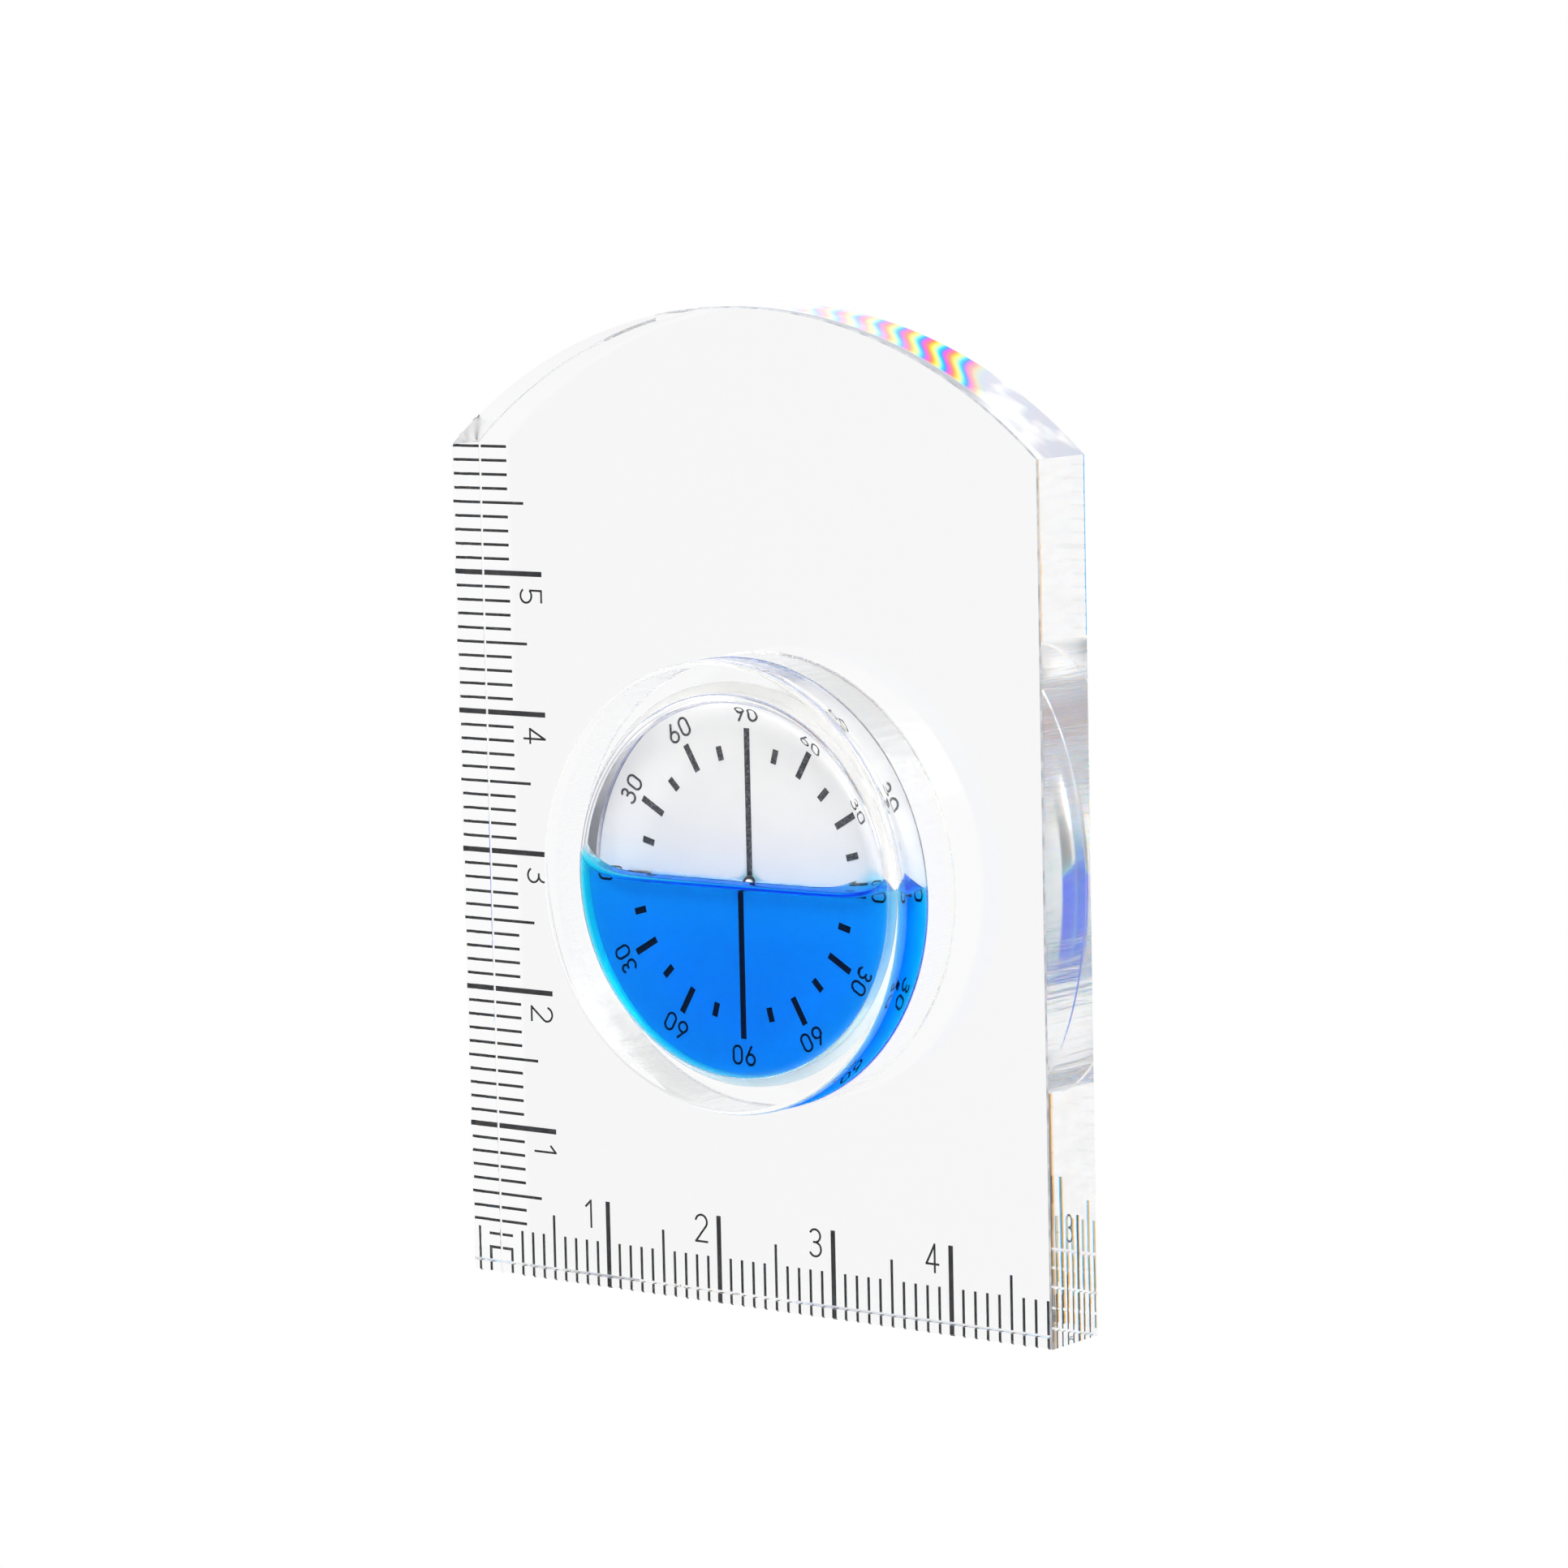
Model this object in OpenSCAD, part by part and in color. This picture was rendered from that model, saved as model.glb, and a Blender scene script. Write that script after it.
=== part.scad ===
// Pocket level: a clear plate with two edge scales and a round, half-filled angle vial.
// Millimetres, +Z up, front towards -Y, origin at the centre of the plate's base face.

/* [Plate] */
// Width of the plate
plate_w = 50.5; // [44:0.5:80]
// Height of the plate's straight sides
plate_side_h = 59.3; // [50:0.1:90]
// Rise of the arched top above the straight sides
arch_rise = 9.85; // [4:0.05:16]
// Thickness of the plate
plate_t = 5.5; // [4.5:0.1:10]

/* [Vial] */
// Outside diameter of the vial
vial_d = 31.3; // [30:0.1:33]
// Height of the vial's axis above the base
vial_z = 29.6; // [24:0.1:34]
// How far the vial stands out of the plate's front face
vial_out = 2.7; // [1.5:0.1:5]
// Thickness of the vial's front window
window_t = 1.6; // [1:0.05:2]
// Wall between the liquid chamber and the vial's outside
chamber_wall = 2.35; // [1.8:0.05:4]
// Depth of the liquid chamber, from the window to the dial
chamber_depth = 2.65; // [2:0.05:3]
// Radius of the rounded corner between the window and the chamber's wall
corner_round = 1.0; // [0.4:0.1:1.5]
// Ledge that the dial plate seats against, cut into the chamber's wall
seat_ledge = 0.7; // [0.4:0.1:1]
// Chamfer on the vial's front rim
rim_chamfer = 0.4; // [0.1:0.05:0.8]
// Depth of the liquid's surface below the vial's axis
level_drop = 0.6; // [0:0.1:4]

/* [Dial plate, cap and plug] */
// Thickness of the white dial plate
dial_t = 1.0; // [0.6:0.1:1.4]
// Thickness of the rear cap's disc
cap_t = 1.2; // [0.8:0.1:1.6]
// Width of the rear cap's rim, which holds the dial plate on its ledge
cap_rim_w = 2.0; // [1:0.1:4]
// Diameter of the filling plug's pin, at the dial's centre
plug_d = 1.0; // [0.8:0.05:1.6]
// Diameter of the filling plug's flange, behind the dial plate
plug_flange_d = 2.6; // [2:0.1:5]
// Thickness of the filling plug's flange
plug_flange_t = 0.5; // [0.3:0.05:0.8]

/* [Clearances] */
// Radial gap between the vial and its hole in the plate
vial_fit = 0.04; // [0.01:0.01:0.1]
// Radial gap between the vial and the dial plate or the rear cap
cap_fit = 0.02; // [0.01:0.01:0.1]
// Radial gap between the filling plug and its hole
plug_fit = 0.02; // [0.01:0.01:0.05]
// Gap between the turning liquid and the walls around it
liquid_gap = 0.06; // [0.05:0.01:0.1]

/* [Ink] */
// Thickness of the printed ink
ink_t = 0.03; // [0.02:0.005:0.04]
// Distance between two marks of a scale
scale_step = 1; // [0.8:0.1:2.5]
// Gap between the edge of the plate and the start of the scale marks
scale_inset = 0.12; // [0.05:0.01:0.4]
// Length of the millimetre marks
mm_mark_l = 2.45; // [2.2:0.05:3]
// Length of the half-centimetre marks
half_mark_l = 3.9; // [3.2:0.1:4.4]
// Length of the centimetre marks
cm_mark_l = 5.4; // [4.8:0.1:6]
// Width of the millimetre and half-centimetre marks
thin_mark_w = 0.2; // [0.1:0.01:0.25]
// Width of the centimetre marks
cm_mark_w = 0.37; // [0.2:0.01:0.5]
// Plate edge left free past the last mark of the left scale
left_end_gap = 0.2; // [0.1:0.1:3]
// Plate edge left free past the last mark of the base scale
base_end_gap = 1.2; // [0.2:0.1:3]
// Height of the scale numerals
scale_digit_h = 2.05; // [1.6:0.05:2.4]
// Width of the scale numerals
scale_digit_w = 1.15; // [0.9:0.05:1.4]
// Stroke of the scale numerals
scale_stroke = 0.15; // [0.1:0.01:0.18]
// Distance from a centimetre mark to the middle of its numeral
scale_digit_step = 1.55; // [1.2:0.05:2]

/* [Dial] */
// Gap between the chamber's wall and the tops of the dial's numerals
dial_edge_gap = 0.75; // [0.4:0.05:1.5]
// Height of the dial's numerals
dial_digit_h = 1.4; // [1:0.05:2]
// Gap between the feet of the numerals and the dial's marks
label_gap = 0.45; // [0.2:0.05:1]
// Length of the major marks, every 30 degrees
major_mark_l = 2.05; // [1.5:0.05:3]
// Length of the minor marks between them
minor_mark_l = 1.0; // [0.6:0.05:1.5]
// Width of the centre line and of the dial's marks
dial_mark_w = 0.46; // [0.3:0.01:0.6]
// Width of the dial's numerals
dial_digit_w = 0.88; // [0.7:0.02:1]
// Stroke of the dial's numerals
dial_stroke = 0.16; // [0.1:0.01:0.2]
// Distance between the middles of two digits on the dial
dial_digit_step = 1.12; // [1.05:0.01:1.2]

/* [Hidden] */
$fn = 96;
// Overshoot that lets a cut pass right through a face
past = 1;

plate_h = plate_side_h + arch_rise;
arch_r = (pow(plate_w / 2, 2) + pow(arch_rise, 2)) / (2 * arch_rise);
arch_z = plate_h - arch_r;
plate_back_y = plate_t / 2;
plate_left_x = -plate_w / 2;

// Depths inside the vial, counted back from its front face
vial_l = vial_out + plate_t;
dial_depth = window_t + chamber_depth;
cap_rim_depth = dial_depth + dial_t;
cap_depth = vial_l - cap_t;

vial_r = vial_d / 2;
chamber_r = vial_r - chamber_wall;
seat_r = chamber_r + seat_ledge;
seated_r = seat_r - cap_fit;
plug_hole_r = plug_d / 2 + plug_fit;
vial_front_y = -plate_t / 2 - vial_out;
dial_y = vial_front_y + dial_depth;

left_marks = floor((plate_side_h - left_end_gap) / scale_step);
base_marks = floor((plate_w - base_end_gap) / scale_step);
// Marks at the corner that are cut short, so that the two scales don't cross
left_cut_marks = 2;
base_cut_marks = 1;

// The dial from its rim inwards, and the turn between two of its marks
dial_digit_foot_r = chamber_r - dial_edge_gap - dial_digit_h;
dial_mark_end_r = dial_digit_foot_r - label_gap;
dial_mark_r = dial_mark_end_r - major_mark_l;
dial_step = 15;

clear_acrylic = [0.92, 0.95, 0.97, 0.35];
white_plastic = [0.94, 0.94, 0.95];
blue_liquid = [0.0, 0.45, 0.95, 0.75];
black_ink = [0.06, 0.06, 0.07];
grey_rubber = [0.25, 0.26, 0.28];

// Scale positions, in marks from the zero corner
function cm_at(count) = [for (i = [10 : 10 : count]) i];
function half_at(count) = [for (i = [5 : 10 : count]) i];
function mm_at(count) = [for (i = [1 : count]) if (i % 5 != 0) i];

// Turns of every second dial mark, from a first one right round
function dial_turns(first) = [for (turn = [first : 2 * dial_step : first + 360 - dial_step]) turn];

// Angle that the dial names at a turn from +X: the lean from level, 0 to 90
function dial_value(turn) = round(abs(asin(sin(turn))));

// Point where a line from p touches the right side of a circle
function touch_point(p, centre, r) =
    let (d = centre - p,
         reach = sqrt(d * d - r * r),
         turn = atan2(d.y, d.x) - asin(r / norm(d)))
    p + reach * [cos(turn), sin(turn)];

// Places round parts on the vial's axis: +Z becomes the depth behind the vial's front face
module on_vial_axis() {
    translate([0, vial_front_y, vial_z]) rotate([-90, 0, 0]) children();
}

// Lays a flat print upright: its X stays X, its Y becomes Z and its thickness points to the front
module printed_on(y) {
    translate([0, y, 0]) rotate([90, 0, 0]) children();
}

// Straight pen stroke between two points
module stroke(from, to, w) {
    run = to - from;
    translate(from) rotate(atan2(run.y, run.x)) translate([0, -w / 2, 0]) cube([norm(run), w, ink_t]);
}

// Round pen stroke about a centre, between two angles
module bow(centre, r, from, to, w) {
    translate(centre) rotate(from) rotate_extrude(angle = to - from)
        translate([r - w / 2, 0]) square([w, ink_t]);
}

// Digits, centred on X with their feet at Y = 0; a is the half width and s / 2 the half stroke
module digit_0(a, h, s) {
    low = s / 2 + a;
    high = h - low;
    bow([0, low], a, 180, 360, s);
    bow([0, high], a, 0, 180, s);
    for (x = [-a, a]) stroke([x, low], [x, high], s);
}

module digit_1(a, h, s) {
    flag = [-a, h - 1.1 * a];
    stroke([0, 0], [0, h], s);
    stroke(flag, [0, h - s / 2], s);
}

module digit_2(a, h, s) {
    bowl = [0, h - s / 2 - a];
    turn_end = -35;
    bow(bowl, a, turn_end, 170, s);
    stroke([-a, s / 2], bowl + a * [cos(turn_end), sin(turn_end)], s);
    stroke([-a - s / 2, s / 2], [a + s / 2, s / 2], s);
}

module digit_3(a, h, s) {
    small = (h - s) / 2 - a;
    waist = h - s / 2 - 2 * small;
    bow([0, h - s / 2 - small], small, -90, 155, s);
    bow([0, s / 2 + a], a, -155, 90, s);
    stroke([-a / 3, waist], [s / 2, waist], s);
}

module digit_4(a, h, s) {
    post = 0.4 * a;
    bar = 0.3 * h;
    stroke([post, 0], [post, h], s);
    stroke([-a, bar], [post, h - s / 2], s);
    stroke([-a - s / 2, bar], [a + s / 2, bar], s);
}

module digit_5(a, h, s) {
    heel = -0.75 * a;
    bowl = [0, s / 2 + a];
    turn_end = 140;
    bow(bowl, a, -150, turn_end, s);
    stroke(bowl + a * [cos(turn_end), sin(turn_end)], [heel, h], s);
    stroke([heel - s / 2, h - s / 2], [a, h - s / 2], s);
}

module digit_7(a, h, s) {
    stroke([-a - s / 2, h - s / 2], [a + s / 2, h - s / 2], s);
    stroke([-a / 3, 0], [a, h - s / 2], s);
}

module digit_8(a, h, s) {
    small = (h - s) / 2 - a;
    bow([0, s / 2 + a], a, 0, 360, s);
    bow([0, h - s / 2 - small], small, 0, 360, s);
}

module digit_9(a, h, s) {
    bowl = [0, h - s / 2 - a];
    foot = [-0.3 * a, 0];
    // The stem leaves the ring just inside its outer edge
    stem_inset = s / 10;
    bow(bowl, a, 0, 360, s);
    stroke(foot, touch_point(foot, bowl, a - stem_inset), s);
}

module digit(value, w, h, s) {
    a = (w - s) / 2;
    if (value == 0) digit_0(a, h, s);
    if (value == 1) digit_1(a, h, s);
    if (value == 2) digit_2(a, h, s);
    if (value == 3) digit_3(a, h, s);
    if (value == 4) digit_4(a, h, s);
    if (value == 5) digit_5(a, h, s);
    if (value == 6) translate([0, h]) rotate(180) digit_9(a, h, s);
    if (value == 7) digit_7(a, h, s);
    if (value == 8) digit_8(a, h, s);
    if (value == 9) digit_9(a, h, s);
}

module scale_digit(value) {
    digit(value, scale_digit_w, scale_digit_h, scale_stroke);
}

// One mark of the left scale, from the left edge inwards
module left_mark(at, l, w) {
    translate([plate_left_x + scale_inset, plate_back_y, at * scale_step - w / 2])
        cube([l - scale_inset, ink_t, w]);
}

// One mark of the base scale, from the base upwards
module base_mark(at, l, w) {
    translate([plate_left_x + at * scale_step - w / 2, plate_back_y, scale_inset])
        cube([w, ink_t, l - scale_inset]);
}

// One mark of the dial, outwards from a radius
module dial_mark(turn, r, l) {
    rotate(turn) translate([r, -dial_mark_w / 2, 0]) cube([l, dial_mark_w, ink_t]);
}

// A dial numeral whose top points outwards
module dial_label(turn) {
    value = dial_value(turn);
    digits = value < 10 ? [value] : [floor(value / 10), value % 10];
    first_x = -(len(digits) - 1) * dial_digit_step / 2;
    rotate(turn - 90) translate([0, dial_digit_foot_r, 0])
        for (i = [0 : len(digits) - 1])
            translate([first_x + i * dial_digit_step, 0, 0])
                digit(digits[i], dial_digit_w, dial_digit_h, dial_stroke);
}

module plate() {
    color(clear_acrylic) difference() {
        translate([plate_left_x, -plate_t / 2, 0]) cube([plate_w, plate_t, plate_h]);
        // Shoulders above the straight sides, outside the arch
        difference() {
            translate([plate_left_x - past, -plate_t / 2 - past, plate_side_h])
                cube([plate_w + 2 * past, plate_t + 2 * past, arch_rise + past]);
            translate([0, plate_t / 2 + 2 * past, arch_z]) rotate([90, 0, 0])
                cylinder(r = arch_r, h = plate_t + 4 * past);
        }
        on_vial_axis() translate([0, 0, vial_out - past])
            cylinder(r = vial_r + vial_fit, h = plate_t + 2 * past);
    }
}

// Half section of the chamber, drawn in by a gap all round
module chamber_section(gap) {
    corner = corner_round - gap;
    wall_r = chamber_r - gap;
    window = window_t + gap;
    translate([0, window]) square([wall_r - corner, chamber_depth - 2 * gap]);
    translate([0, window + corner]) square([wall_r, chamber_depth - 2 * gap - corner]);
    translate([wall_r - corner, window + corner]) circle(r = corner);
}

module vial_cup() {
    color(clear_acrylic) on_vial_axis() rotate_extrude() difference() {
        polygon([
            [0, 0],
            [vial_r - rim_chamfer, 0],
            [vial_r, rim_chamfer],
            [vial_r, vial_l],
            [seat_r, vial_l],
            [seat_r, dial_depth],
            [0, dial_depth]
        ]);
        chamber_section(0);
    }
}

module dial_plate() {
    color(white_plastic) on_vial_axis() translate([0, 0, dial_depth]) difference() {
        cylinder(r = seated_r, h = dial_t);
        translate([0, 0, -past]) cylinder(r = plug_hole_r, h = dial_t + 2 * past);
    }
}

module rear_cap() {
    color(white_plastic) on_vial_axis() rotate_extrude() polygon([
        [0, cap_depth],
        [seated_r - cap_rim_w, cap_depth],
        [seated_r - cap_rim_w, cap_rim_depth],
        [seated_r, cap_rim_depth],
        [seated_r, vial_l],
        [0, vial_l]
    ]);
}

module fill_plug() {
    color(grey_rubber) on_vial_axis() translate([0, 0, dial_depth]) {
        sphere(d = plug_d);
        cylinder(d = plug_d, h = dial_t + plug_flange_t);
        translate([0, 0, dial_t]) cylinder(d = plug_flange_d, h = plug_flange_t);
    }
}

module liquid() {
    color(blue_liquid) difference() {
        on_vial_axis() rotate_extrude() chamber_section(liquid_gap);
        translate([-chamber_r, vial_front_y, vial_z - level_drop])
            cube([2 * chamber_r, vial_l, chamber_r + level_drop]);
        // Room for the filling plug's round end
        on_vial_axis() translate([0, 0, dial_depth - plug_d / 2 - liquid_gap])
            cylinder(r = plug_d / 2 + liquid_gap, h = plug_d);
    }
}

module left_scale_cm_marks() {
    color(black_ink) for (at = cm_at(left_marks)) left_mark(at, cm_mark_l, cm_mark_w);
}

module left_scale_half_marks() {
    color(black_ink) for (at = half_at(left_marks)) left_mark(at, half_mark_l, thin_mark_w);
}

module left_scale_mm_marks() {
    // The cut marks run on to the far side of the base scale's last cut mark
    cut_l = base_cut_marks * scale_step + thin_mark_w / 2;
    color(black_ink) for (at = mm_at(left_marks))
        left_mark(at, at <= left_cut_marks ? cut_l : mm_mark_l, thin_mark_w);
}

module left_scale_numerals() {
    color(black_ink) printed_on(plate_back_y + ink_t) for (at = cm_at(left_marks))
        translate([plate_left_x + cm_mark_l - scale_digit_h, at * scale_step - scale_digit_step, 0])
            rotate(-90) scale_digit(at / 10);
}

module base_scale_cm_marks() {
    color(black_ink) for (at = cm_at(base_marks)) base_mark(at, cm_mark_l, cm_mark_w);
}

module base_scale_half_marks() {
    color(black_ink) for (at = half_at(base_marks)) base_mark(at, half_mark_l, thin_mark_w);
}

module base_scale_mm_marks() {
    // The cut mark stops under the left scale's first mark
    cut_l = scale_step - thin_mark_w / 2;
    color(black_ink) for (at = mm_at(base_marks))
        base_mark(at, at <= base_cut_marks ? cut_l : mm_mark_l, thin_mark_w);
}

module base_scale_numerals() {
    color(black_ink) printed_on(plate_back_y + ink_t) for (at = cm_at(base_marks))
        translate([plate_left_x + at * scale_step - scale_digit_step, cm_mark_l - scale_digit_h, 0])
            scale_digit(at / 10);
}

module dial_centre_line() {
    color(black_ink) printed_on(dial_y) translate([0, vial_z, 0])
        for (turn = [90, 270]) dial_mark(turn, plug_hole_r, dial_mark_end_r - plug_hole_r);
}

module dial_major_marks() {
    color(black_ink) printed_on(dial_y) translate([0, vial_z, 0])
        for (turn = dial_turns(0))
            if (dial_value(turn) != 90) dial_mark(turn, dial_mark_r, major_mark_l);
}

module dial_minor_marks() {
    color(black_ink) printed_on(dial_y) translate([0, vial_z, 0])
        for (turn = dial_turns(dial_step)) dial_mark(turn, dial_mark_r, minor_mark_l);
}

module dial_numerals() {
    color(black_ink) printed_on(dial_y) translate([0, vial_z, 0])
        for (turn = dial_turns(0)) dial_label(turn);
}

plate();
vial_cup();
dial_plate();
rear_cap();
fill_plug();
liquid();
left_scale_cm_marks();
left_scale_half_marks();
left_scale_mm_marks();
left_scale_numerals();
base_scale_cm_marks();
base_scale_half_marks();
base_scale_mm_marks();
base_scale_numerals();
dial_centre_line();
dial_major_marks();
dial_minor_marks();
dial_numerals();
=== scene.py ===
"""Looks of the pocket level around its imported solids: clear plate, vial, liquid, prints and studio."""

import math

import bmesh
import bpy
from mathutils import Matrix, Vector


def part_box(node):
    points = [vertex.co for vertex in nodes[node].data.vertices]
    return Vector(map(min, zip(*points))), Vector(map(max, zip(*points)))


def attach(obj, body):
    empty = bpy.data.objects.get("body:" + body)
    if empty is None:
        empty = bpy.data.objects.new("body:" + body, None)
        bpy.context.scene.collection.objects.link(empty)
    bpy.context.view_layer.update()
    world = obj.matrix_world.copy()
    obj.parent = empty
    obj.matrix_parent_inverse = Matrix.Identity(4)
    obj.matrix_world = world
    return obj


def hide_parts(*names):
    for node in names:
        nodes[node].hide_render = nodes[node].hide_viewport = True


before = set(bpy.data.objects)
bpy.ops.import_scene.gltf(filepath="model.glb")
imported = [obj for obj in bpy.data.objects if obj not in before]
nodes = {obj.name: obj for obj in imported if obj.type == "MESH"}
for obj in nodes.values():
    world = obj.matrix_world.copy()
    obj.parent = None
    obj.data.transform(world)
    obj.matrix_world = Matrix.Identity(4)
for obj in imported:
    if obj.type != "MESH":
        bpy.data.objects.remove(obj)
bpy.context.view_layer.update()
scene = bpy.context.scene

MM = 0.001
WHITE = (1.0, 1.0, 1.0, 1.0)

# Sizes of the solids that their boxes don't give
SIDE_H = 59.3 * MM
WINDOW_T = 1.6 * MM
CHAMBER_WALL = 2.35 * MM
CORNER_ROUND = 1.0 * MM
SEAT_LEDGE = 0.7 * MM
VIAL_FIT = 0.04 * MM

plate_low, plate_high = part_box("plate")
vial_low, vial_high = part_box("vial_cup")
dial_low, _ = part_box("dial_plate")
vial_x = (vial_low.x + vial_high.x) / 2
vial_z = (vial_low.z + vial_high.z) / 2
vial_r = (vial_high.x - vial_low.x) / 2
vial_l = vial_high.y - vial_low.y
vial_out = plate_low.y - vial_low.y
chamber_r = vial_r - CHAMBER_WALL
dial_depth = dial_low.y - vial_low.y
chamber_depth = dial_depth - WINDOW_T


class Graph:
    """Short hand for building one node tree."""

    def __init__(self, tree):
        self.tree = tree
        tree.nodes.clear()

    def add(self, kind, values=None, **settings):
        """A new node with its settings, and with its inputs set or linked."""
        node = self.tree.nodes.new(kind)
        for name, value in settings.items():
            setattr(node, name, value)
        for name, value in (values or {}).items():
            if isinstance(value, bpy.types.NodeSocket):
                self.tree.links.new(value, node.inputs[name])
            else:
                node.inputs[name].default_value = value
        return node

    def place(self):
        """Where a point lies on its piece."""
        return self.add("ShaderNodeTexCoord").outputs["Object"]

    def axis(self, vector, name):
        """One component of a vector."""
        return self.add("ShaderNodeSeparateXYZ", {"Vector": vector}).outputs[name]

    def stretch(self, place, scale):
        """A place scaled along the three axes, for patterns that run along one of them."""
        return self.add("ShaderNodeMapping", {"Vector": place, "Scale": scale}).outputs["Vector"]

    def noise(self, place, scale, detail=2.0):
        """Cloudy noise between 0 and 1."""
        values = {"Vector": place, "Scale": scale, "Detail": detail}
        return self.add("ShaderNodeTexNoise", values).outputs["Fac"]

    def bump(self, height, strength, distance):
        """The normal of a surface that a height makes uneven."""
        values = {"Height": height, "Strength": strength, "Distance": distance}
        return self.add("ShaderNodeBump", values).outputs["Normal"]

    def math(self, operation, *values):
        """One step of arithmetic."""
        return self.add("ShaderNodeMath", dict(enumerate(values)), operation=operation).outputs[0]

    def vector_math(self, operation, *values, result="Vector"):
        """One step of arithmetic with vectors."""
        node = self.add("ShaderNodeVectorMath", dict(enumerate(values)), operation=operation)
        return node.outputs[result]

    def remap(self, value, low, high, to_low=0.0, to_high=1.0, clamp=True):
        """A value between two limits, spread between two others."""
        values = {"Value": value, 1: low, 2: high, 3: to_low, 4: to_high}
        return self.add("ShaderNodeMapRange", values, clamp=clamp).outputs[0]

    def mix(self, factor, first, second, blend_type="MIX"):
        """A blend of two colours."""
        values = {"Factor": factor, "A": first, "B": second}
        node = self.add("ShaderNodeMix", values, data_type="RGBA", blend_type=blend_type)
        return node.outputs["Result"]

    def ramp(self, factor, stops):
        """A colour ramp over (position, colour) stops."""
        node = self.add("ShaderNodeValToRGB", {"Fac": factor})
        elements = node.color_ramp.elements
        while len(elements) < len(stops):
            elements.new(0.5)
        for element, (position, colour) in zip(elements, stops):
            element.position = position
            element.color = (*colour, 1.0)
        return node.outputs["Color"]

    def principled(self, values):
        """The all-round shader."""
        return self.add("ShaderNodeBsdfPrincipled", values).outputs["BSDF"]

    def mix_shader(self, factor, first, second):
        """A blend of two shaders."""
        return self.add("ShaderNodeMixShader", {0: factor, 1: first, 2: second}).outputs[0]


def new_material(name):
    material = bpy.data.materials.new(name)
    material.use_nodes = True
    return material, Graph(material.node_tree)


def output_surface(graph, surface, volume=None):
    values = {"Surface": surface}
    if volume is not None:
        values["Volume"] = volume
    graph.add("ShaderNodeOutputMaterial", values)


def new_piece(name, mesh, materials, body, replaced):
    """Puts a mesh into the scene as a piece that rides on a body."""
    piece = bpy.data.objects.new(name, mesh)
    scene.collection.objects.link(piece)
    for material in materials:
        mesh.materials.append(material)
    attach(piece, body)
    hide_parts(*replaced)


# Looks of the clear plastic; a wave is the scale and the strength of its unevenness
ACRYLIC_IOR = 1.49
PLATE_WAVE = (120.0, 0.004)
SIDE_WAVE = (500.0, 0.01)
VIAL_WAVE = (200.0, 0.004)
DRY_FROM = vial_z + 0.2 * MM
DRY_FADE = 0.1 * MM
SHADE_FADE = 4.0 * MM


def acrylic(name, wave, roughness=0.0, dry_from=None):
    """Clear polished plastic, faintly wavy; below a given height, liquid stops its mirroring."""
    material, graph = new_material(name)
    place = graph.place()
    scale, strength = wave
    values = {
        "Base Color": WHITE,
        "Roughness": roughness,
        "IOR": ACRYLIC_IOR,
        "Transmission Weight": 1.0,
        "Normal": graph.bump(graph.noise(place, scale), strength, MM),
    }
    if dry_from is not None:
        height = graph.axis(place, "Z")
        values["Specular Tint"] = graph.remap(height, dry_from - DRY_FADE, dry_from + DRY_FADE)
    output_surface(graph, graph.principled(values))
    return material


def shaded_wall():
    """The vial's outer wall, which mirrors light from within, and from outside only above the liquid."""
    material, graph = new_material("vial_wall")
    place = graph.place()
    scale, strength = VIAL_WAVE
    normal = graph.bump(graph.noise(place, scale), strength, MM)
    dull_values = {"Roughness": 0.0, "IOR": ACRYLIC_IOR, "Normal": normal}
    dull = graph.add("ShaderNodeBsdfRefraction", dull_values).outputs[0]
    mirroring = graph.principled({
        "Base Color": WHITE,
        "Roughness": 0.0,
        "IOR": ACRYLIC_IOR,
        "Transmission Weight": 1.0,
        "Normal": normal,
    })
    within = graph.add("ShaderNodeNewGeometry").outputs["Backfacing"]
    above = graph.remap(graph.axis(place, "Z"), vial_z, vial_z + SHADE_FADE)
    output_surface(graph, graph.mix_shader(graph.math("MAXIMUM", within, above), dull, mirroring))
    return material


def machined_acrylic():
    """The drilled wall of the plate's hole, with streaks along its axis."""
    material, graph = new_material("hole_wall")
    streaks = graph.noise(graph.stretch(graph.place(), (1.0, 0.08, 1.0)), 1400.0, 4.0)
    surface = graph.principled({
        "Base Color": graph.ramp(streaks, [(0.4, (0.9, 0.92, 0.94)), (0.62, (0.98, 0.985, 0.99))]),
        "Roughness": 0.2,
        "IOR": ACRYLIC_IOR,
        "Transmission Weight": 1.0,
        "Normal": graph.bump(streaks, 0.4, 0.3 * MM),
    })
    output_surface(graph, surface)
    return material


# Painted light: coloured strain fringes, which show only in polarised light, painted on the arch's sawn edge
FRINGE_PITCH = 1.75 * MM
FRINGE_START = 0.38 * MM
FRINGE_LEAN = 0.63
FRINGE_SWAY = 0.25 * MM
FRINGE_SWAY_L = 4.6 * MM
FRINGE_SWAY_PHASE = 0.23
FRINGE_FRONT = -1.95 * MM
FRINGE_FADE = 0.15 * MM
FRINGE_REACH = 20.0 * MM
CROWN_FROM = -6.5 * MM
CROWN_CLEAR = 3.9 * MM


def fringe_colours(graph, along):
    """One round of painted fringe colours for each pitch along the arch."""
    order = graph.remap(along, FRINGE_START, FRINGE_START + FRINGE_PITCH, clamp=False)
    return graph.ramp(graph.math("FRACT", order), [
        (0.0, (0.7, 0.05, 0.6)),
        (0.22, (0.9, 0.2, 0.08)),
        (0.4, (0.9, 0.65, 0.04)),
        (0.58, (0.55, 0.85, 0.4)),
        (0.72, (0.0, 0.65, 0.75)),
        (0.87, (0.03, 0.22, 0.8)),
        (1.0, (0.7, 0.05, 0.6)),
    ])


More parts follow.
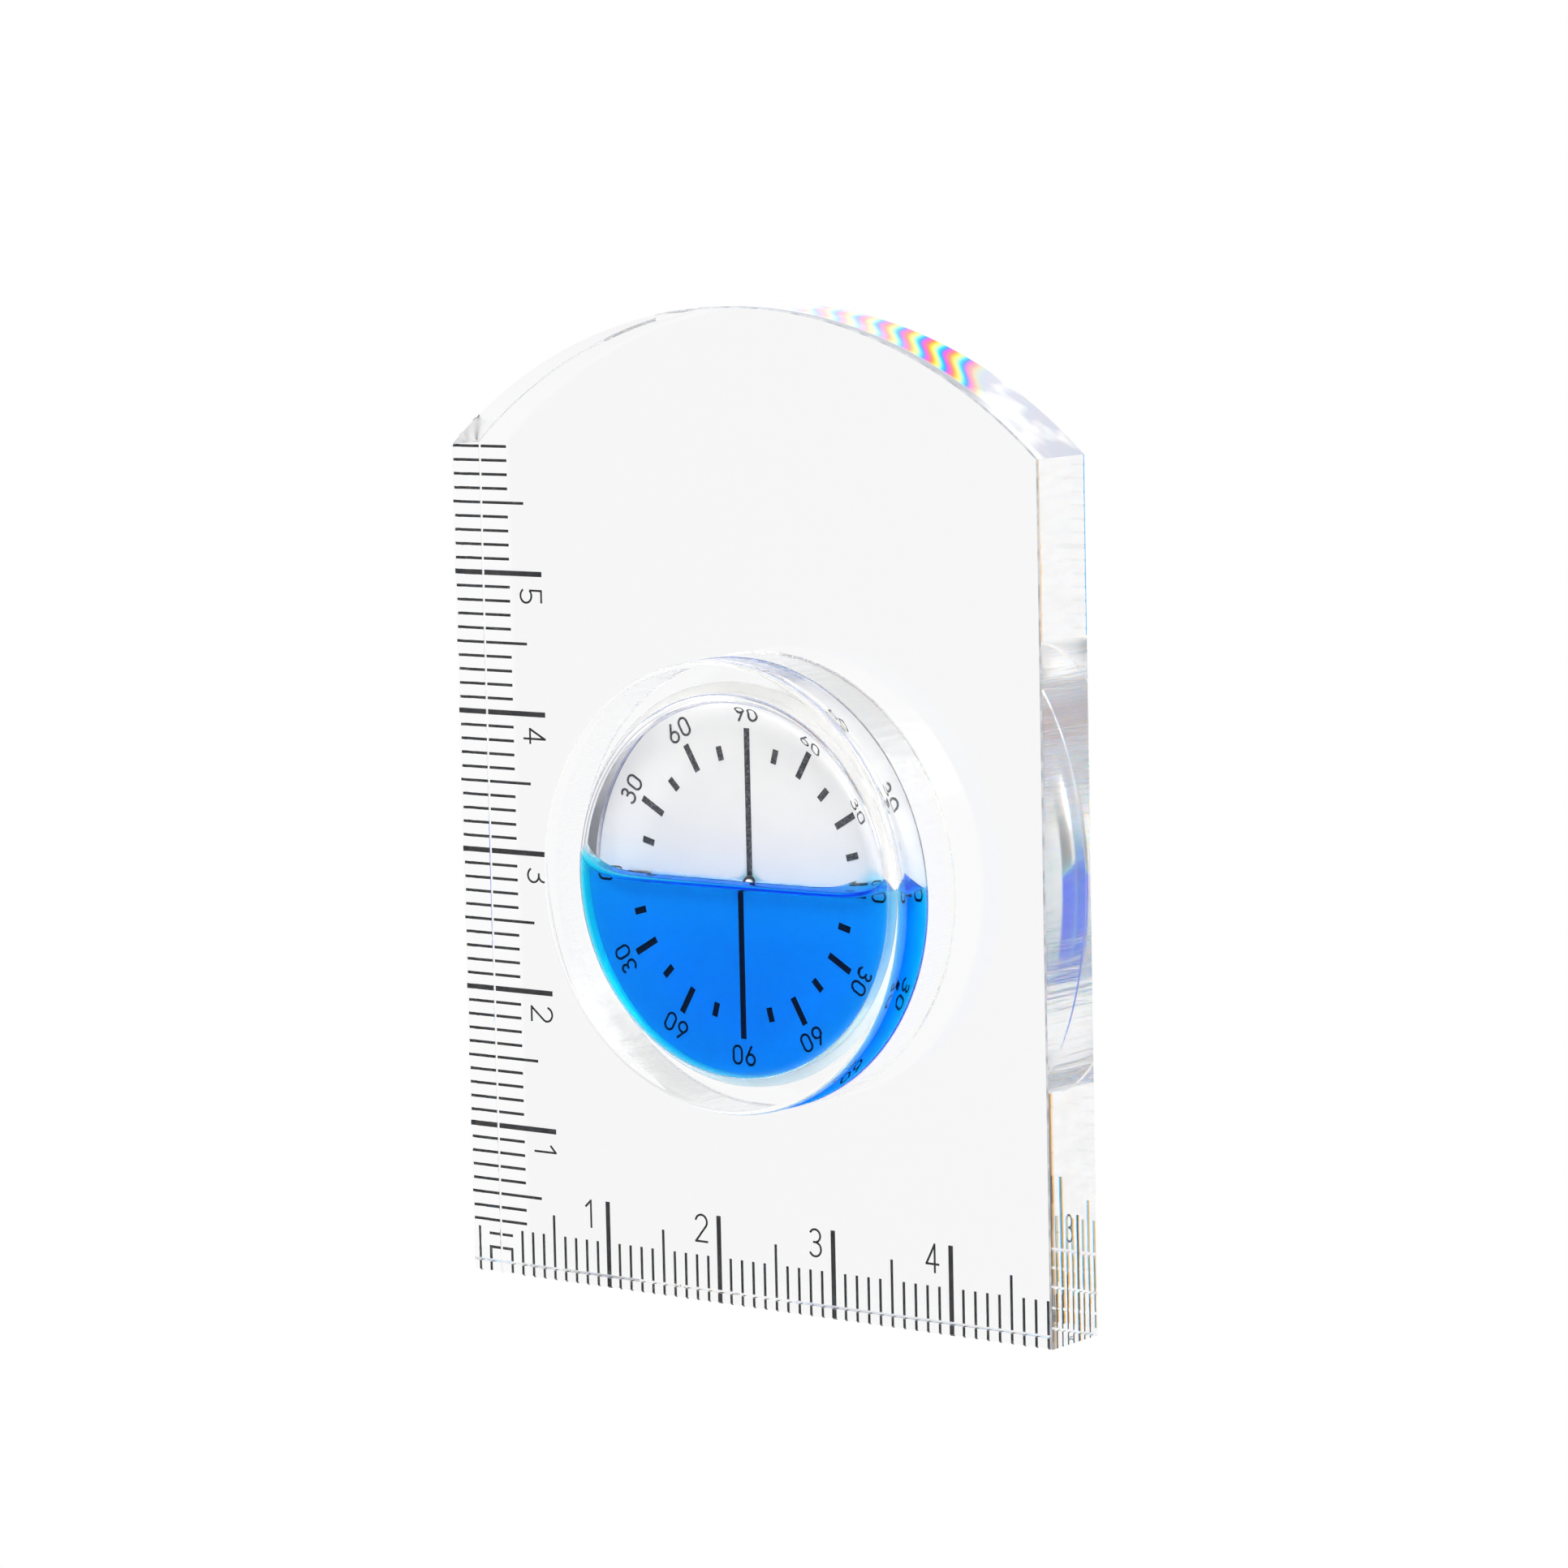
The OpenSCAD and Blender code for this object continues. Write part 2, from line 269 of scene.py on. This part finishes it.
def fringe_painted_acrylic():
    """The sawn arch, with painted coloured fringes of the kind that strain shows in polarised light, on grey
    that pales towards the crown.
    """
    material, graph = new_material("arch_edge_painted_fringes")
    place = graph.place()
    x = graph.axis(place, "X")
    y = graph.axis(place, "Y")
    turn = graph.math("MULTIPLY_ADD", y, 2 * math.pi / FRINGE_SWAY_L, FRINGE_SWAY_PHASE)
    leaned = graph.math("MULTIPLY_ADD", y, FRINGE_LEAN, x)
    along = graph.math("MULTIPLY_ADD", graph.math("SINE", turn), FRINGE_SWAY, leaned)
    reach = graph.remap(along, 0.0, FRINGE_REACH)
    strength = graph.ramp(reach, [
        (0.05, (0.06, 0.06, 0.06)),
        (0.25, (0.22, 0.22, 0.22)),
        (0.5, (0.5, 0.5, 0.5)),
        (0.65, (0.8, 0.8, 0.8)),
        (0.75, (1.0, 1.0, 1.0)),
        (0.88, (0.9, 0.9, 0.9)),
        (0.96, (0.02, 0.02, 0.02)),
    ])
    inside = graph.remap(y, FRINGE_FRONT - FRINGE_FADE, FRINGE_FRONT + FRINGE_FADE)
    patches = graph.noise(place, 300.0)
    clear = graph.ramp(patches, [(0.42, (0.58, 0.6, 0.68)), (0.56, (0.84, 0.84, 0.84))])
    pale = graph.mix(graph.remap(x, CROWN_FROM, CROWN_CLEAR), (0.62, 0.62, 0.63, 1.0), clear)
    near = graph.ramp(reach, [(0.9, (0.42, 0.44, 0.49)), (1.0, (0.8, 0.8, 0.82))])
    ground = graph.mix(inside, near, pale)
    # Where the painted fringes show in the base colour
    shown = graph.math("MULTIPLY", strength, inside)
    surface = graph.principled({
        "Base Color": graph.mix(shown, ground, fringe_colours(graph, along)),
        "Roughness": 0.2,
        "IOR": ACRYLIC_IOR,
        "Specular IOR Level": 0.0,
        "Transmission Weight": 0.2,
    })
    output_surface(graph, surface)
    return material


SPLIT_IOR = 1.496
DISPERSION = 0.0035


def splitting_acrylic():
    """A sawn side, finely streaked, which bends warm light less than cold light."""
    material, graph = new_material("split_edge")
    streaks = graph.noise(graph.stretch(graph.place(), (0.2, 0.2, 1.0)), 2500.0)
    warm = graph.ramp(streaks, [(0.35, (0.92, 0.46, 0.0)), (0.65, (0.97, 0.485, 0.0))])
    cold = graph.ramp(streaks, [(0.35, (0.0, 0.46, 0.92)), (0.65, (0.0, 0.485, 0.97))])
    bent = []
    for colour, ior in ((warm, SPLIT_IOR - DISPERSION), (cold, SPLIT_IOR + DISPERSION)):
        glass = graph.add("ShaderNodeBsdfGlass", {"Color": colour, "Roughness": 0.0, "IOR": ior})
        bent.append(glass.outputs[0])
    whole = graph.add("ShaderNodeAddShader", dict(enumerate(bent)))
    output_surface(graph, whole.outputs[0])
    return material


def worn_acrylic():
    """The broken edges, with small chips."""
    material, graph = new_material("worn_edge")
    chips = graph.noise(graph.place(), 1100.0)
    surface = graph.principled({
        "Base Color": graph.ramp(chips, [(0.4, (0.5, 0.51, 0.54)), (0.6, (0.28, 0.29, 0.31))]),
        "Roughness": 0.4,
        "IOR": ACRYLIC_IOR,
        "Transmission Weight": 0.6,
    })
    output_surface(graph, surface)
    return material


ROUGH_CORNER = (-23.4 * MM, -22.6 * MM)
CORNER_ROUGHNESS = 0.25


def sawn_acrylic():
    """The left of the arch, finely sawn, and rougher towards the corner."""
    material, graph = new_material("crown_edge")
    place = graph.place()
    marks = graph.noise(place, 500.0)
    surface = graph.principled({
        "Base Color": graph.ramp(marks, [(0.35, (0.93, 0.93, 0.935)), (0.65, (0.95, 0.95, 0.95))]),
        "Roughness": graph.remap(graph.axis(place, "X"), *ROUGH_CORNER, CORNER_ROUGHNESS, 0.0),
        "IOR": ACRYLIC_IOR,
        "Transmission Weight": 1.0,
    })
    output_surface(graph, surface)
    return material


hole_wall = machined_acrylic()
vial_looks = {
    "clear": acrylic("vial_clear", VIAL_WAVE),
    "wall": shaded_wall(),
    "hole": hole_wall,
    "inside": acrylic("vial_inside", VIAL_WAVE, dry_from=DRY_FROM),
}
plate_looks = {
    "face": acrylic("plate_face", PLATE_WAVE),
    "hole": hole_wall,
    "arch": fringe_painted_acrylic(),
    "crown": sawn_acrylic(),
    "side": acrylic("side_edge", SIDE_WAVE, roughness=0.02),
    "split": splitting_acrylic(),
    "worn": worn_acrylic(),
}

# Looks of the liquid, the dial and the prints
LIQUID_IOR = 1.44
DYE_COLOUR = (0.0, 0.93, 0.9995, 1.0)
DYE_DENSITY = 2800.0
# Size and middle of the pale spot that is painted on the plug's round end as its highlight
PLUG_HIGHLIGHT_R = 0.22 * MM
PLUG_HIGHLIGHT_AT = (vial_x + 0.18 * MM, 0.0, vial_z + 0.08 * MM)
PRINT_FADE = 0.2 * MM


def liquid_material():
    """Dyed liquid, bluer with depth; its open skin mirrors, and its wetted sides mirror next to nothing."""
    material, graph = new_material("liquid_blue")
    facing = graph.axis(graph.add("ShaderNodeTexCoord").outputs["Normal"], "Z")
    surface = graph.principled({
        "Base Color": WHITE,
        "Roughness": 0.0,
        "IOR": LIQUID_IOR,
        "Transmission Weight": 1.0,
        "Specular Tint": graph.ramp(facing, [(0.2, (0.0, 0.0, 0.0)), (0.3, (1.0, 1.0, 1.0))]),
    })
    dye = graph.add("ShaderNodeVolumeAbsorption", {"Color": DYE_COLOUR, "Density": DYE_DENSITY})
    output_surface(graph, surface, dye.outputs["Volume"])
    return material


def moulded(name, colour, dark, roughness, specks):
    """Moulded plastic or print with a faint mottle."""
    material, graph = new_material(name)
    mottle = graph.noise(graph.place(), specks, 3.0)
    surface = graph.principled({
        "Base Color": graph.ramp(mottle, [(0.3, dark), (0.6, colour)]),
        "Roughness": roughness,
        "Normal": graph.bump(mottle, 0.05, 0.05 * MM),
    })
    output_surface(graph, surface)
    return material


def highlight_painted_plug():
    """Dark plug with a painted highlight: a pale round spot on its round end, set a little off the axis."""
    material, graph = new_material("plug_painted_highlight")
    off_axis = graph.vector_math("SUBTRACT", graph.place(), PLUG_HIGHLIGHT_AT)
    flat = graph.vector_math("MULTIPLY", off_axis, (1.0, 0.0, 1.0))
    away = graph.vector_math("LENGTH", flat, result="Value")
    share = graph.math("DIVIDE", away, 2 * PLUG_HIGHLIGHT_R)
    # Pale in the middle, dark outside it: the pale middle is the painted highlight
    tint = graph.ramp(share, [(0.4, (0.95, 0.93, 0.86)), (0.6, (0.012, 0.012, 0.014))])
    output_surface(graph, graph.principled({"Base Color": tint, "Roughness": 0.3}))
    return material


def dial_print():
    """The print on the dial, black where the liquid wets it at rest, greyer and speckled where it is dry."""
    material, graph = new_material("dial_ink")
    place = graph.place()
    specks = graph.noise(place, 5000.0, 3.0)
    dry = graph.ramp(specks, [(0.45, (0.04, 0.042, 0.046)), (0.75, (0.2, 0.2, 0.21))])
    above = graph.remap(graph.axis(place, "Z"), vial_z - PRINT_FADE, vial_z + PRINT_FADE)
    tint = graph.mix(above, (0.004, 0.004, 0.004, 1.0), dry)
    output_surface(graph, graph.principled({"Base Color": tint, "Roughness": 0.5}))
    return material


liquid_blue = liquid_material()
dial_ink = dial_print()
ink_black = moulded("ink_black", (0.012, 0.012, 0.013), (0.03, 0.03, 0.032), 0.5, 6000.0)
node_looks = {
    "dial_plate": moulded("dial_white", (0.945, 0.935, 0.9), (0.925, 0.915, 0.88), 0.35, 700.0),
    "rear_cap": moulded("cap_white", (0.86, 0.86, 0.87), (0.82, 0.82, 0.83), 0.45, 900.0),
    "fill_plug": highlight_painted_plug(),
}
for name, node in nodes.items():
    material = node_looks.get(name, dial_ink if name.startswith("dial_") else ink_black)
    node.data.materials.clear()
    node.data.materials.append(material)

# Plate
EDGE_BREAK = 0.1 * MM
INK_BED = 0.01 * MM
WORN_BACK = (-13.5 * MM, -8.8 * MM)
ARCH_STEPS = 160
HOLE_STEPS = 256
plate_slots = list(plate_looks)


def arched_outline(inset):
    """The plate's outline in X and Z, drawn in by an inset, from the lower left corner round."""
    half_w = plate_high.x
    rise = plate_high.z - SIDE_H
    arch_r = (half_w ** 2 + rise ** 2) / (2 * rise)
    arch_z = plate_high.z - arch_r
    reach = half_w - inset
    radius = arch_r - inset
    start = math.acos(reach / radius)
    corners = [(-reach, plate_low.z + inset), (reach, plate_low.z + inset)]
    turns = [start + (math.pi - 2 * start) * i / ARCH_STEPS for i in range(ARCH_STEPS + 1)]
    return corners + [(radius * math.cos(t), arch_z + radius * math.sin(t)) for t in turns]


def hole_outline(inset):
    """The hole in X and Z, opened by an inset."""
    radius = vial_r + VIAL_FIT + inset
    turns = [2 * math.pi * i / HOLE_STEPS for i in range(HOLE_STEPS)]
    return [(vial_x + radius * math.cos(t), vial_z + radius * math.sin(t)) for t in turns]


def closed_pairs(ring):
    return list(zip(ring, ring[1:] + ring[:1]))


def outer_slot(level, step, steps, x):
    """The look of one strip of the rim, whose steps run base, right side, arch, left side."""
    on_arch = 2 <= step < steps - 1
    if level == 0:
        return "worn" if x > CROWN_FROM and step else "face"
    if level == 2:
        return "worn" if on_arch and WORN_BACK[0] < x < WORN_BACK[1] else "face"
    if on_arch:
        return "arch" if x > CROWN_FROM else "crown"
    return "split" if step == 1 else "side"


def plate_mesh():
    """The plate with broken edges, its back face raised a little into the prints."""
    front = plate_low.y
    back = plate_high.y + INK_BED
    levels = [(front, EDGE_BREAK), (front + EDGE_BREAK, 0.0), (back - EDGE_BREAK, 0.0), (back, EDGE_BREAK)]
    shape = bmesh.new()
    stacks = []
    for outline in (arched_outline, hole_outline):
        stacks.append([[shape.verts.new((x, y, z)) for x, z in outline(inset)] for y, inset in levels])
    for index, stack in enumerate(stacks):
        for level, (near, far) in enumerate(zip(stack, stack[1:])):
            pairs = list(zip(closed_pairs(near), closed_pairs(far)))
            for step, ((a, b), (c, d)) in enumerate(pairs):
                slot = "hole" if index else outer_slot(level, step, len(pairs), a.co.x)
                shape.faces.new((a, b, d, c)).material_index = plate_slots.index(slot)
        for ring in stack:
            for a, b in closed_pairs(ring):
                shape.edges.get((a, b)).smooth = False
    outer = stacks[0]
    for corner in (0, 1, 2, len(outer[0]) - 1):
        for near, far in zip(outer, outer[1:]):
            shape.edges.get((near[corner], far[corner])).smooth = False
    for level in (0, -1):
        rims = [shape.edges.get(pair) for stack in stacks for pair in closed_pairs(stack[level])]
        bmesh.ops.triangle_fill(shape, edges=rims, use_beauty=True)
    for face in shape.faces:
        face.smooth = True
    bmesh.ops.recalc_face_normals(shape, faces=shape.faces)
    mesh = bpy.data.meshes.new("plate_clear")
    shape.to_mesh(mesh)
    shape.free()
    return mesh


new_piece("plate_clear", plate_mesh(), plate_looks.values(), "plate", ["plate"])

# Vial
VIAL_STEPS = 256
RIM_ROUND = 0.45 * MM
SEAT_GAP = 0.02 * MM
BACK_BREAK = 0.1 * MM
ROUND_STEPS = 24
SAME_POINT = 1e-7
vial_slots = list(vial_looks)


def straight(start, end):
    """A straight run of a profile: its two ends, with the normal on its right."""
    along = (Vector(end) - Vector(start)).normalized()
    normal = Vector((along.y, -along.x))
    return [(Vector(start), normal), (Vector(end), normal)]


def rounded(centre, radius, start, end, side):
    """A round run of a profile about a centre, from one angle in degrees to another."""
    run = []
    for i in range(ROUND_STEPS + 1):
        turn = math.radians(start + (end - start) * i / ROUND_STEPS)
        out = Vector((math.cos(turn), math.sin(turn)))
        run.append((Vector(centre) + radius * out, side * out))
    return run


def vial_profile():
    """The cup's outline and looks, from the middle of its front round to the middle inside its window."""
    seat_r = chamber_r + SEAT_LEDGE
    seat_depth = dial_depth - SEAT_GAP
    inner_end = chamber_r - CORNER_ROUND
    return [
        ("clear", straight((0, 0), (vial_r - RIM_ROUND, 0))),
        ("clear", rounded((vial_r - RIM_ROUND, RIM_ROUND), RIM_ROUND, -90, 0, 1)),
        ("wall", straight((vial_r, RIM_ROUND), (vial_r, vial_out))),
        ("hole", straight((vial_r, vial_out), (vial_r, vial_l - BACK_BREAK))),
        ("clear", straight((vial_r, vial_l - BACK_BREAK), (vial_r - BACK_BREAK, vial_l))),
        ("clear", straight((vial_r - BACK_BREAK, vial_l), (seat_r, vial_l))),
        ("clear", straight((seat_r, vial_l), (seat_r, seat_depth))),
        ("clear", straight((seat_r, seat_depth), (chamber_r, seat_depth))),
        ("inside", straight((chamber_r, seat_depth), (chamber_r, WINDOW_T + CORNER_ROUND))),
        ("inside", rounded((inner_end, WINDOW_T + CORNER_ROUND), CORNER_ROUND, 0, -90, -1)),
        ("inside", straight((inner_end, WINDOW_T), (0, WINDOW_T))),
    ]


def joined_runs(runs):
    """The points of a profile's runs without doubles, and its strips: look, both ends and their normals."""
    points, strips = [], []
    for slot, run in runs:
        for i, (point, normal) in enumerate(run):
            if not points or (point - points[-1]).length > SAME_POINT:
                points.append(point)
            if i:
                strips.append((slot, len(points) - 2, last_normal, len(points) - 1, normal))
            last_normal = normal
    return points, strips


def lathe_mesh(name, runs, steps):
    """Turns a profile of radius and depth about the vial's axis, with the profile's own normals."""
    points, strips = joined_runs(runs)
    turns = [2 * math.pi * i / steps for i in range(steps)]
    verts, rings = [], []
    for radius, depth in points:
        on_axis = radius < SAME_POINT
        rings.append([len(verts) + i for i in range(1 if on_axis else steps)])
        for t in turns[:1] if on_axis else turns:
            x = vial_x + radius * math.cos(t)
            z = vial_z + radius * math.sin(t)
            verts.append((x, vial_low.y + depth, z))
    faces, normals = [], []
    for _, i, normal_i, j, normal_j in strips:
        for k in range(steps):
            m = (k + 1) % steps
            corners = []
            around = ((i, normal_i, k), (j, normal_j, k), (j, normal_j, m), (i, normal_i, m))
            for ring, normal, step in around:
                vert = rings[ring][step % len(rings[ring])]
                if vert in [known for known, _ in corners]:
                    continue
                t = turns[step]
                corners.append((vert, (normal.x * math.cos(t), normal.y, normal.x * math.sin(t))))
            faces.append([vert for vert, _ in corners])
            normals.extend(normal for _, normal in corners)
    mesh = bpy.data.meshes.new(name)
    mesh.from_pydata(verts, [], faces)
    mesh.polygons.foreach_set("use_smooth", [True] * len(mesh.polygons))
    slots = [vial_slots.index(slot) for slot, *_ in strips for _ in range(steps)]
    mesh.polygons.foreach_set("material_index", slots)
    mesh.normals_split_custom_set(normals)
    mesh.update()
    return mesh


vial_mesh = lathe_mesh("vial_clear", vial_profile(), VIAL_STEPS)
new_piece("vial_clear", vial_mesh, vial_looks.values(), "plate", ["vial_cup"])

# Liquid
LEVEL = -0.21 * MM
WETTING = 0.03 * MM
TROUGH_AT = -0.4
WINDOW_CLIMB = 0.72 * MM
WINDOW_STEEP = 0.9
DIAL_CLIMB = 0.22 * MM
DIAL_RIM = 0.28 * MM
RIM_POWER = 10
WALL_CLIMB = 2.2 * MM
WALL_REACH = 1.2 * MM
WALL_FADE = 0.85
PLUG_CLIMB = 1.2 * MM
PLUG_REACH = 0.6 * MM
PLUG_POWER = 30
CORNER_SLICES = 16
SLICES = 20
SURFACE_STEPS = 120
BOWL_STEPS = 160
HALVINGS = 40


def surface_height(x, across, radius):
    """Height of the liquid's skin above its trough; across runs from -1 at the window to 1 at the dial."""
    if across < TROUGH_AT:
        share = (TROUGH_AT - across) / (TROUGH_AT + 1)
        drop = 1 - math.sqrt(1 - WINDOW_STEEP * share ** 2)
        height = WINDOW_CLIMB * drop / (1 - math.sqrt(1 - WINDOW_STEEP))
    else:
        share = (across - TROUGH_AT) / (1 - TROUGH_AT)
        height = DIAL_CLIMB * share ** 2 + DIAL_RIM * share ** RIM_POWER
    fade = 1 - WALL_FADE * min(1.0, (across + 1) / 2)
    height += fade * WALL_CLIMB * math.exp(-(radius - abs(x)) / WALL_REACH)
    height += PLUG_CLIMB * math.exp(-(x / PLUG_REACH) ** 2) * max(0.0, across) ** PLUG_POWER
    return height


def skin_reach(across, radius):
    """How far the liquid's skin runs to each side before it meets the bowl."""
    low, high = 0.0, radius
    for _ in range(HALVINGS):
        middle = (low + high) / 2
        height = LEVEL + surface_height(middle, across, radius)
        if middle ** 2 + height ** 2 < radius ** 2:
            low = middle
        else:
            high = middle
    return low


def liquid_slice(across, radius):
    """The liquid's outline in X and Z at one depth: along its skin to the right, then back round the bowl."""
    reach = skin_reach(across, radius)
    skin = []
    for i in range(SURFACE_STEPS + 1):
        x = reach * math.sin(math.pi / 2 * (2 * i / SURFACE_STEPS - 1))
        skin.append((x, LEVEL + surface_height(x, across, radius)))
    start = math.atan2(skin[-1][1], skin[-1][0])
    sweep = math.pi + 2 * start
    bowl = [start - sweep * i / BOWL_STEPS for i in range(1, BOWL_STEPS)]
    return skin + [(radius * math.cos(t), radius * math.sin(t)) for t in bowl]


def slice_places():
    """Depth behind the window and radius of each slice: round the corner, then straight to the dial."""
    corner = CORNER_ROUND + WETTING
    places = []
    for i in range(CORNER_SLICES):
        turn = math.pi / 2 * i / CORNER_SLICES
        depth = CORNER_ROUND - corner * math.cos(turn)
        places.append((depth, chamber_r - CORNER_ROUND + corner * math.sin(turn)))
    straight_run = chamber_depth + WETTING - CORNER_ROUND
    for i in range(SLICES + 1):
        share = math.sin(math.pi / 2 * i / SLICES)
        places.append((CORNER_ROUND + straight_run * share, chamber_r + WETTING))
    return places


def liquid_mesh():
    """The liquid at rest, which reaches a little into the clear walls and the dial that it wets."""
    shape = bmesh.new()
    rings = []
    for depth, radius in slice_places():
        across = max(-1.0, 2 * depth / chamber_depth - 1)
        y = vial_low.y + WINDOW_T + depth
        outline = liquid_slice(across, radius)
        rings.append([shape.verts.new((vial_x + x, y, vial_z + z)) for x, z in outline])
    for near, far in zip(rings, rings[1:]):
        for (a, b), (c, d) in zip(closed_pairs(near), closed_pairs(far)):
            shape.faces.new((a, b, d, c)).smooth = True
        for contact in (0, SURFACE_STEPS):
            shape.edges.get((near[contact], far[contact])).smooth = False
    for ring in (rings[0], rings[-1]):
        cap = bmesh.ops.triangle_fill(shape, edges=[shape.edges.get(p) for p in closed_pairs(ring)])
        for part in cap["geom"]:
            if isinstance(part, bmesh.types.BMFace):
                part.smooth = False
    bmesh.ops.recalc_face_normals(shape, faces=shape.faces)
    mesh = bpy.data.meshes.new("liquid_skin")
    shape.to_mesh(mesh)
    shape.free()
    return mesh


new_piece("liquid_fill", liquid_mesh(), [liquid_blue], "liquid", ["liquid"])

# Studio
FLOOR_R = 90.0 * MM
FLOOR_DROP = 0.02 * MM
FLOOR_FADE = (15.0 * MM, 50.0 * MM)
FLOOR_GLOW = 0.9
FLOOR_SEGMENTS = 96
FRONT_DIM = Vector((-0.606, -0.787, -0.12)).normalized()
BACK_DIM = Vector((-0.05, 0.787, 0.6)).normalized()
KEY_AT = Vector((0.27, -0.37, 0.41))
KEY_SIZE = 0.3
KEY_POWER = 1.3
TOP_AT = Vector((-0.31, -0.18, 0.39))
TOP_SIZE = 0.15
TOP_POWER = 2.0


def floor_material():
    """White paper that fades out away from the object and keeps its faint shadow."""
    material, graph = new_material("studio_floor")
    light = graph.add("ShaderNodeEmission", {"Color": WHITE, "Strength": 1.0}).outputs[0]
    paper = graph.add("ShaderNodeBsdfDiffuse", {"Color": (0.9, 0.9, 0.9, 1.0)}).outputs[0]
    clear = graph.add("ShaderNodeBsdfTransparent", {"Color": WHITE}).outputs[0]
    path = graph.add("ShaderNodeLightPath").outputs
    mirrored = path["Is Glossy Ray"]
    seen = graph.math("MAXIMUM", path["Is Camera Ray"], mirrored)
    seen = graph.math("MAXIMUM", seen, path["Is Transmission Ray"])
    lit = graph.mix_shader(graph.math("MULTIPLY", seen, FLOOR_GLOW), paper, light)
    away = graph.vector_math("LENGTH", graph.place(), result="Value")
    gone = graph.math("MAXIMUM", graph.remap(away, *FLOOR_FADE), mirrored)
    output_surface(graph, graph.mix_shader(gone, lit, clear))
    return material


def studio_floor():
    """A round white floor that keeps a faint shadow."""
    shape = bmesh.new()
    bmesh.ops.create_circle(shape, cap_ends=True, segments=FLOOR_SEGMENTS, radius=FLOOR_R)
    mesh = bpy.data.meshes.new("studio_floor")
    shape.to_mesh(mesh)
    shape.free()
    mesh.materials.append(floor_material())
    floor = bpy.data.objects.new("studio_floor", mesh)
    floor.location = (0.0, 0.0, -FLOOR_DROP)
    scene.collection.objects.link(floor)


def studio_world():
    """White all round, with dim sides that the clear parts show at their edges."""
    world = bpy.data.worlds.new("studio")
    world.use_nodes = True
    scene.world = world
    graph = Graph(world.node_tree)
    towards = graph.add("ShaderNodeTexCoord").outputs["Generated"]
    front = graph.ramp(graph.vector_math("DOT_PRODUCT", towards, FRONT_DIM, result="Value"), [
        (0.75, (1.0, 1.0, 1.0)),
        (0.93, (0.4, 0.41, 0.43)),
        (0.975, (0.1, 0.1, 0.11)),
    ])
    back = graph.ramp(graph.vector_math("DOT_PRODUCT", towards, BACK_DIM, result="Value"), [
        (0.85, (1.0, 1.0, 1.0)),
        (0.95, (0.8, 0.8, 0.79)),
    ])
    room = graph.mix(1.0, front, back, blend_type="MULTIPLY")
    white = graph.add("ShaderNodeBackground", {"Color": WHITE, "Strength": 1.0}).outputs[0]
    around = graph.add("ShaderNodeBackground", {"Color": room, "Strength": 1.0}).outputs[0]
    seen = graph.add("ShaderNodeLightPath").outputs["Is Camera Ray"]
    graph.add("ShaderNodeOutputWorld", {"Surface": graph.mix_shader(seen, around, white)})


def soft_box(name, at, size, power):
    """A round soft box aimed at the vial."""
    data = bpy.data.lights.new(name, "AREA")
    data.shape = "DISK"
    data.size = size
    data.energy = power
    lamp = bpy.data.objects.new(name, data)
    lamp.location = at
    lamp.rotation_euler = (Vector((vial_x, vial_low.y, vial_z)) - at).to_track_quat("-Z", "Y").to_euler()
    scene.collection.objects.link(lamp)


studio_floor()
studio_world()
soft_box("key", KEY_AT, KEY_SIZE, KEY_POWER)
soft_box("top", TOP_AT, TOP_SIZE, TOP_POWER)

# Camera
CAMERA_AT = (238.65 * MM, -307.69 * MM, 83.12 * MM)
CAMERA_RIGHT = Vector((0.79369358, 0.60792989, -0.02171986))
CAMERA_AHEAD = Vector((-0.60576915, 0.78659942, -0.11960386))
LENS_MM = 130.82
SENSOR_MM = 36.0


def studio_camera():
    data = bpy.data.cameras.new("camera")
    data.lens = LENS_MM
    data.sensor_width = SENSOR_MM
    data.clip_start = 0.01
    data.clip_end = 10.0
    camera = bpy.data.objects.new("camera", data)
    up = CAMERA_RIGHT.cross(CAMERA_AHEAD)
    turn = Matrix((CAMERA_RIGHT, up, -CAMERA_AHEAD)).transposed()
    camera.matrix_world = Matrix.Translation(CAMERA_AT) @ turn.to_4x4()
    scene.collection.objects.link(camera)
    scene.camera = camera


studio_camera()

# Render: the clear pieces need many bounces
CLEAR_BOUNCES = 96

scene.view_settings.view_transform = "Standard"
scene.cycles.max_bounces = CLEAR_BOUNCES
scene.cycles.transmission_bounces = CLEAR_BOUNCES
scene.cycles.glossy_bounces = CLEAR_BOUNCES
scene.cycles.diffuse_bounces = 6
scene.cycles.blur_glossy = 0.0
